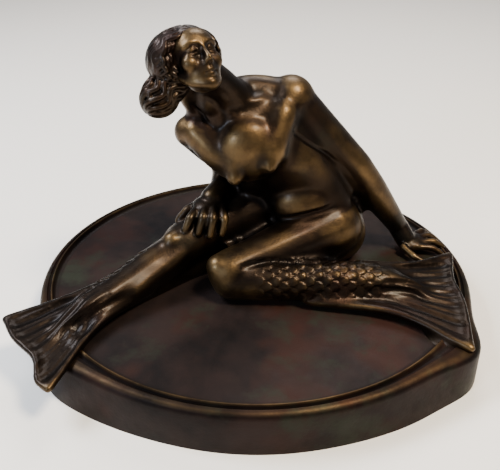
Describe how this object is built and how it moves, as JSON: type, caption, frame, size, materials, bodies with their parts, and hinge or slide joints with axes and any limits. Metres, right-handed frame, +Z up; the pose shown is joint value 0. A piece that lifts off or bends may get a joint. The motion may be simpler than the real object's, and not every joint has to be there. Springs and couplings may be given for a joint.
{
  "type": "nymph sculpture",
  "caption": "Cast bronze nymph with a pair of scaled fish tails, seated on an oval rimmed dish, leaning back on one arm with the other hand on her knee.",
  "frame": {"origin": "middle of the dish's flat underside, on the table", "axes": "+Z up, -Y to the front that the figure faces, +X along the length of the dish towards her left hand"},
  "size_m": [0.204, 0.1785, 0.1325],
  "materials": {
    "bronze": "cast bronze with a very dark brown satin patina, rubbed golden on the high points"
  },
  "bodies": {
    "root": {"nymph_sculpture": "bronze"}
  },
  "joints": []
}
